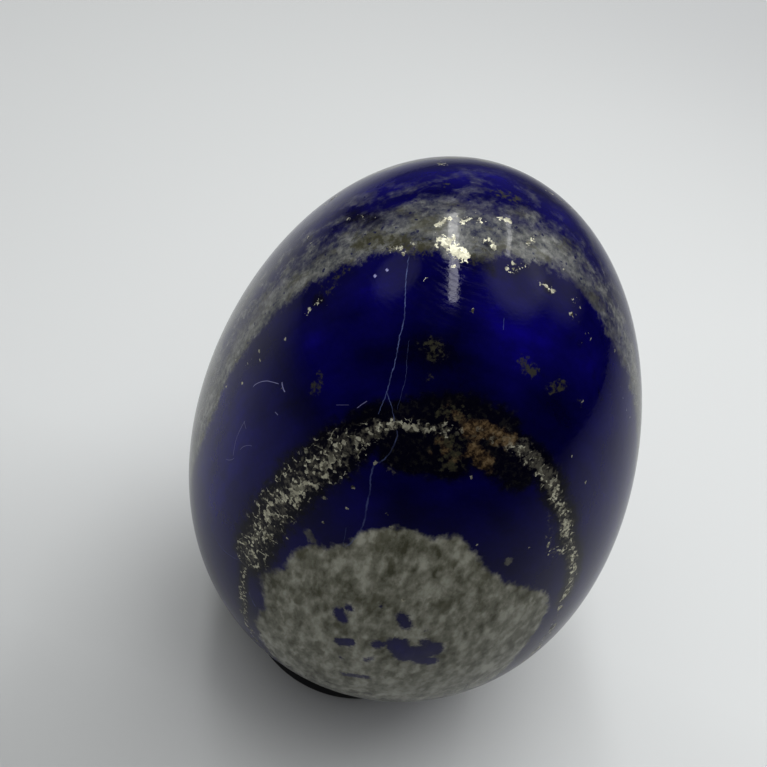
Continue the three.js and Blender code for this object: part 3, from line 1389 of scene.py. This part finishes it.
@dataclass(frozen=True)
class PaperFinish:
    """Pale paper for the floor, which runs into the backdrop far from the object, with painted light
    and shade in its colour.

    Its colour is painted brightest at one place and darker with distance from it, and carries a
    painted shadow that darkens it towards the front. Polished stone mirrors the floor in front of it
    as the dark side of the room, so the paper is painted darker still to mirrored light there than
    it looks itself, with painted shading from side to side.

    Attributes:
        name: the material's name.
        colour: the paper's colour.
        roughness: how rough it is.
        melt: how far from the object it starts to run into the backdrop and ends, in millimetres.
        painted_light_pool_middle: the middle of the painted light, in millimetres on the floor.
        painted_light_pool: how bright the painted light leaves the paper at distances from there.
        front: how bright the painted shadow leaves it along Y, from the front edge to the object.
        mirrored_front: the same painted shadow, darker, as polished stone mirrors it.
        mirrored_side: how bright painted shading leaves it along X, as polished stone mirrors it.
    """

    name: str = "pale_floor"
    colour: Colour = (0.73, 0.745, 0.745)
    roughness: float = 0.9
    melt: tuple[float, float] = (110.0, 300.0)
    painted_light_pool_middle: tuple[float, float] = (75.0, 35.0)
    painted_light_pool: Bends = (
        (0.0, 1.0),
        (60.0, 0.99),
        (120.0, 0.92),
        (200.0, 0.78),
        (320.0, 0.6),
        (500.0, 0.5),
    )
    front: Bends = (
        (-130.0, 0.56),
        (-80.0, 0.6),
        (-45.0, 0.66),
        (-20.0, 0.9),
        (10.0, 1.0),
    )
    mirrored_front: Bends = (
        (-380.0, 0.02),
        (-300.0, 0.09),
        (-200.0, 0.16),
        (-130.0, 0.3),
        (-80.0, 0.5),
        (-45.0, 0.66),
        (-20.0, 0.9),
        (10.0, 1.0),
    )
    mirrored_side: Bends = (
        (-260.0, 1.25),
        (-80.0, 1.05),
        (-40.0, 0.78),
        (0.0, 0.7),
        (90.0, 0.74),
        (180.0, 0.7),
        (400.0, 0.85),
    )

    def tone(self, bench: Bench, place: Signal, bends: Bends) -> Signal:
        """Adds the nodes that shade the paper along one measure.

        Args:
            bench: the material's bench.
            place: the measure in millimetres.
            bends: pairs of place and brightness.

        Returns:
            The brightness.
        """
        first, last = bends[0][0], bends[-1][0]
        stops = tuple(((at - first) / (last - first), (tone, tone, tone)) for at, tone in bends)
        return bench.ramp((place - first) / (last - first), stops)

    def make(self) -> bpy.types.Material:
        """Makes the material.

        Returns:
            The material, which shines as the backdrop does where it has run into it.
        """
        material, bench = started(self.name)
        place = bench.place_mm()
        split = bench.node("ShaderNodeSeparateXYZ", None, {0: place})
        side, along = (Signal(bench, split.outputs[number]) for number in (0, 1))
        rays = bench.node("ShaderNodeLightPath")
        seen = Signal(bench, rays.outputs["Is Camera Ray"])
        mirrored = Signal(bench, rays.outputs["Is Glossy Ray"])
        # Painted shade that only mirrored rays see: darker towards the front, lighter and darker
        # from side to side.
        mirrored_front_painted_shade = self.tone(bench, along, self.mirrored_front)
        mirrored_side_painted_shading = self.tone(bench, side, self.mirrored_side)
        # Painted shadow: darker towards the front; mirrored rays get the painted shade above
        # instead.
        front = self.tone(bench, along, self.front) * (1.0 - mirrored)
        front = front + mirrored_front_painted_shade * mirrored_side_painted_shading * mirrored
        # Painted light: brightest at one place on the floor and fading with distance from it.
        away = bench.vector("DISTANCE", place, (*self.painted_light_pool_middle, 0.0), output=1)
        painted_light_pool = self.tone(bench, away, self.painted_light_pool)
        melted = bench.fade(bench.vector("LENGTH", place, output=1), *self.melt) * seen
        bench.surface(
            {
                "Base Color": bench.scaled(self.colour, painted_light_pool * front * (1.0 - melted)),
                "Roughness": self.roughness,
                "Emission Color": bench.scaled(BACKDROP, melted),
                "Emission Strength": 1.0,
            },
        )
        return material


def finished(name: str, mesh: bmesh.types.BMesh, material: bpy.types.Material) -> bpy.types.Object:
    """Turns a bmesh into an object.

    Args:
        name: the object's name.
        mesh: the bmesh in millimetres, which is freed.
        material: what it is made of.

    Returns:
        The smooth object at the origin, in metres.
    """
    bmesh.ops.scale(mesh, vec=(MM, MM, MM), verts=mesh.verts)
    for face in mesh.faces:
        face.smooth = True
    data = bpy.data.meshes.new(name)
    mesh.to_mesh(data)
    mesh.free()
    data.materials.append(material)
    piece = bpy.data.objects.new(name, data)
    bpy.context.scene.collection.objects.link(piece)
    return piece


@dataclass
class LapisEgg:
    """The stone: one turned and polished egg.

    Attributes:
        form: its form.
        view: the viewpoint that its marks were read off from.
        beds: its bedding.
        finish: its material.
        segments: the mesh's divisions round the egg, before each is halved.
        rings: the same from foot to top.
        edges: the edges between beds that its material needs.
    """

    form: EggForm
    view: Viewpoint
    beds: Bedding
    finish: LapisFinish = field(default_factory=LapisFinish)
    segments: int = 192
    rings: int = 128
    edges: tuple[BedEdge, ...] = (BAND_FRONT, BAND_BACK, ARCH, CAP)

    def build(self) -> bpy.types.Object:
        """Builds the egg and dresses it.

        Returns:
            The piece, in place of the plain solid.
        """
        mesh = bmesh.new()
        bmesh.ops.create_uvsphere(mesh, u_segments=self.segments, v_segments=self.rings, radius=1.0)
        bmesh.ops.subdivide_edges(mesh, edges=mesh.edges, cuts=1, use_grid_fill=True)
        unit = np.array([tuple(vert.co.normalized()) for vert in mesh.verts])
        points = self.form.placed(unit)
        for vert, point in zip(mesh.verts, points.tolist()):
            vert.co = point
        piece = finished("lapis_egg", mesh, self.finish.make(self.beds))
        self.write_fields(piece, points)
        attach(piece, BODY)
        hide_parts("egg")
        return piece

    def write_fields(self, piece: bpy.types.Object, points: np.ndarray) -> None:
        """Writes where the beds and the soft marks are as numbers at the mesh's points.

        Args:
            piece: the egg.
            points: its points in millimetres.
        """
        normals = self.form.normals(points)
        fields = {}
        for edge in self.edges:
            fields[edge.name] = edge.across(points, normals, self.form, self.view, self.beds)
        for name, smears in SMEARS.items():
            strengths = [smear.strength(points, self.form, self.view) for smear in smears]
            fields[name] = np.max(strengths, axis=0)
        for name, values in fields.items():
            layer = piece.data.attributes.new(name, "FLOAT", "POINT")
            layer.data.foreach_set("value", values.astype(np.float32))


@dataclass
class RingStand:
    """The small black ring that the stone rests in, in millimetres.

    Attributes:
        form: the stone's form, which gives the seat its slope.
        finish: the ring's material.
        bore: the diameter of its open middle.
        seat_radius: where the stone bears on the bevelled seat.
        seat_outer_radius: where the bevel meets the flat top.
        top_rounding: the rounding of the outer top edge.
        foot_rounding: that of the two edges at the foot.
        rim_rounding: that of the bevel's outer edge.
        bore_rounding: that of the bevel's inner edge.
        segments: the mesh's divisions round the ring.
        rounding_steps: the steps in each rounding.
        merged_within: how close two points have to be to become one.
    """

    form: EggForm
    finish: BlackPlasticFinish = field(default_factory=BlackPlasticFinish)
    bore: float = 20.0
    seat_radius: float = 11.0
    seat_outer_radius: float = 12.0
    top_rounding: float = 0.9
    foot_rounding: float = 0.3
    rim_rounding: float = 0.12
    bore_rounding: float = 0.15
    segments: int = 192
    rounding_steps: int = 6
    merged_within: float = 1e-4

    def build(self) -> bpy.types.Object:
        """Builds the ring and dresses it.

        Returns:
            The piece, in place of the plain solid.
        """
        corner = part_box("ring_stand")[1] / MM
        outer = corner.x
        top = corner.z
        inner = self.bore / 2
        slope = math.asin(self.seat_radius / self.form.blunt_radius)
        bevel_drop = (self.seat_outer_radius - inner) * math.tan(slope)
        corners = (
            (inner, 0.0, self.foot_rounding),
            (outer, 0.0, self.foot_rounding),
            (outer, top, self.top_rounding),
            (self.seat_outer_radius, top, self.rim_rounding),
            (inner, top - bevel_drop, self.bore_rounding),
        )
        mesh = bmesh.new()
        verts = [mesh.verts.new((across, 0.0, up)) for across, up, _ in corners]
        mesh.faces.new(verts)
        for vert, (_, _, rounding) in zip(verts, corners):
            bmesh.ops.bevel(
                mesh,
                geom=[vert],
                offset=rounding,
                offset_type="OFFSET",
                segments=self.rounding_steps,
                profile=0.5,
                affect="VERTICES",
                material=-1,
            )
        bmesh.ops.delete(mesh, geom=list(mesh.faces), context="FACES_ONLY")
        bmesh.ops.spin(
            mesh,
            geom=list(mesh.verts) + list(mesh.edges),
            cent=(0.0, 0.0, 0.0),
            axis=(0.0, 0.0, 1.0),
            angle=math.tau,
            steps=self.segments,
            use_merge=True,
        )
        bmesh.ops.remove_doubles(mesh, verts=mesh.verts, dist=self.merged_within)
        bmesh.ops.recalc_face_normals(mesh, faces=mesh.faces)
        piece = finished("black_ring", mesh, self.finish.make())
        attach(piece, BODY)
        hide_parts("ring_stand")
        return piece


def heading(bearing_deg: float, elevation_deg: float) -> tuple[float, float, float]:
    """Finds a direction.

    Args:
        bearing_deg: its bearing, where 0 is towards -Y and 90 towards +X.
        elevation_deg: how far it points up.

    Returns:
        A unit vector.
    """
    bearing, elevation = math.radians(bearing_deg), math.radians(elevation_deg)
    flat = math.cos(elevation)
    return (flat * math.sin(bearing), -flat * math.cos(bearing), math.sin(elevation))


@dataclass(frozen=True)
class SoftPatch:
    """A soft bright patch of the studio.

    Attributes:
        bearing_deg: its bearing from the photographed side.
        elevation_deg: its height above the floor.
        inner_deg: how far from its middle it is bright.
        outer_deg: how far from there it has faded out.
        strength: how bright it is.
    """

    bearing_deg: float
    elevation_deg: float
    inner_deg: float
    outer_deg: float
    strength: float

    def light(self, bench: Bench, way: Signal) -> Signal:
        """Adds the nodes that light the patch.

        Args:
            bench: the studio's bench.
            way: the direction that is looked in.

        Returns:
            The light from there.
        """
        middle = heading(self.bearing_deg, self.elevation_deg)
        cosine = bench.vector("DOT_PRODUCT", way, middle, output=1)
        low, high = (math.cos(math.radians(angle)) for angle in (self.outer_deg, self.inner_deg))
        return bench.fade(cosine, low, high) * self.strength


@dataclass(frozen=True)
class Softbox:
    """A flat light that faces the object.

    Attributes:
        name: the light's name.
        place: where its middle hangs, in metres.
        size: its width and length in metres.
        radiance: how bright its face is.
        mirrored: whether polished surfaces show it.
        twist_deg: its turn about the way it faces.
        face_down: whether it faces straight down instead of towards the object.
    """

    name: str
    place: tuple[float, float, float]
    size: tuple[float, float]
    radiance: float
    mirrored: bool = False
    twist_deg: float = 0.0
    face_down: bool = False

    def hang(self) -> bpy.types.Object:
        """Hangs the light.

        Returns:
            The light.
        """
        data = bpy.data.lights.new(self.name, "AREA")
        data.shape = "RECTANGLE"
        data.size, data.size_y = self.size
        data.energy = self.radiance * math.pi * self.size[0] * self.size[1]
        lamp = bpy.data.objects.new(self.name, data)
        bpy.context.scene.collection.objects.link(lamp)
        way = Vector((0.0, 0.0, 1.0)) if self.face_down else Vector(self.place) - LIGHT_AIM
        facing = way.to_track_quat("Z", "Y").to_matrix() @ turn(self.twist_deg, Axis.Z)
        lamp.matrix_world = Matrix.LocRotScale(Vector(self.place), facing, None)
        lamp.visible_glossy = self.mirrored
        return lamp


@dataclass
class Studio:
    """A pale floor under plain soft light.

    Attributes:
        paper: the floor's material.
        floor_side: the length of the square floor's side, in metres.
        print_gamma: the gamma of the picture.
        ceiling: how bright the ceiling is.
        ceiling_heights: the heights of a direction between which the ceiling starts.
        ambient: the even light from all sides.
        lit_patches: the soft patches that light the scene.
        mirrored_patches: the soft patches that polished surfaces show.
        lights: the flat lights.
    """

    paper: PaperFinish = field(default_factory=PaperFinish)
    floor_side: float = 1.8
    print_gamma: float = 0.85
    ceiling: float = 0.62
    ceiling_heights: tuple[float, float] = (0.66, 0.86)
    ambient: float = 0.02
    lit_patches: tuple[SoftPatch, ...] = (
        SoftPatch(-70.0, 30.0, 10.0, 60.0, 0.45),
        SoftPatch(130.0, 36.0, 6.0, 34.0, 0.9),
    )
    mirrored_patches: tuple[SoftPatch, ...] = (
        SoftPatch(-68.0, 43.0, 8.0, 15.0, 0.6),
        SoftPatch(98.0, 64.0, 13.0, 25.0, 0.95),
        SoftPatch(122.0, 40.0, 8.0, 24.0, 0.7),
        SoftPatch(-150.0, 68.0, 8.0, 22.0, 0.9),
        SoftPatch(180.0, 0.0, 20.0, 60.0, 0.13),
        SoftPatch(-100.0, 10.0, 10.0, 40.0, 0.08),
    )
    lights: tuple[Softbox, ...] = (
        Softbox("key", (0.045, 0.08, 0.45), (0.36, 0.36), 2.42),
        Softbox("long_strip", (-0.195, -0.035, 0.8), (0.085, 0.86), 7.4, True, 19.7, True),
        Softbox("short_strip", (0.165, 0.365, 0.8), (0.045, 0.50), 6.2, True, 15.3, True),
    )

    def lay_floor(self) -> bpy.types.Object:
        """Lays the paper that the object stands on.

        Returns:
            The floor.
        """
        mesh = bmesh.new()
        half_side = self.floor_side / 2 / MM
        bmesh.ops.create_grid(mesh, x_segments=1, y_segments=1, size=half_side)
        floor = finished("floor", mesh, self.paper.make())
        return floor

    def light_room(self) -> None:
        """Lights the room: even fill, soft patches for polished surfaces, and a plain backdrop."""
        world = bpy.data.worlds.new("studio")
        bpy.context.scene.world = world
        world.use_nodes = True
        bench = Bench(world.node_tree)
        way = bench.vector("NORMALIZE", bench.signal("ShaderNodeTexCoord", None, {}, "Generated"))
        up = bench.signal("ShaderNodeSeparateXYZ", None, {0: way}, 2)
        lit = sum(patch.light(bench, way) for patch in self.lit_patches)
        lit = lit + bench.fade(up, *self.ceiling_heights) * self.ceiling + self.ambient
        mirrored = sum(patch.light(bench, way) for patch in self.mirrored_patches)
        rays = bench.node("ShaderNodeLightPath")
        polished = Signal(bench, rays.outputs["Is Glossy Ray"])
        strength = mirrored * polished + lit * (1.0 - polished)
        white = (1.0, 1.0, 1.0, 1.0)
        glow = bench.signal("ShaderNodeBackground", None, {"Color": white, "Strength": strength})
        plain = bench.signal("ShaderNodeBackground", None, {"Color": (*BACKDROP, 1.0)})
        seen = Signal(bench, rays.outputs["Is Camera Ray"])
        mixed = bench.signal("ShaderNodeMixShader", None, {0: seen, 1: glow, 2: plain})
        bench.node("ShaderNodeOutputWorld", None, {"Surface": mixed})

    def build(self) -> None:
        """Lays the floor and hangs the lights."""
        self.lay_floor()
        self.light_room()
        for light in self.lights:
            light.hang()
        view = bpy.context.scene.view_settings
        view.view_transform = "Standard"
        view.look = "None"
        view.gamma = self.print_gamma


def main() -> None:
    """Builds the camera, the studio and the two pieces."""
    VIEW.make_camera()
    Studio().build()
    for maker in (LapisEgg(FORM, VIEW, Bedding()), RingStand(FORM)):
        piece = maker.build()
        LOG.info("built %s with %d faces", piece.name, len(piece.data.polygons))


if __name__ == "__main__":
    logging.basicConfig(level=logging.INFO, format="%(name)s: %(message)s")
    main()
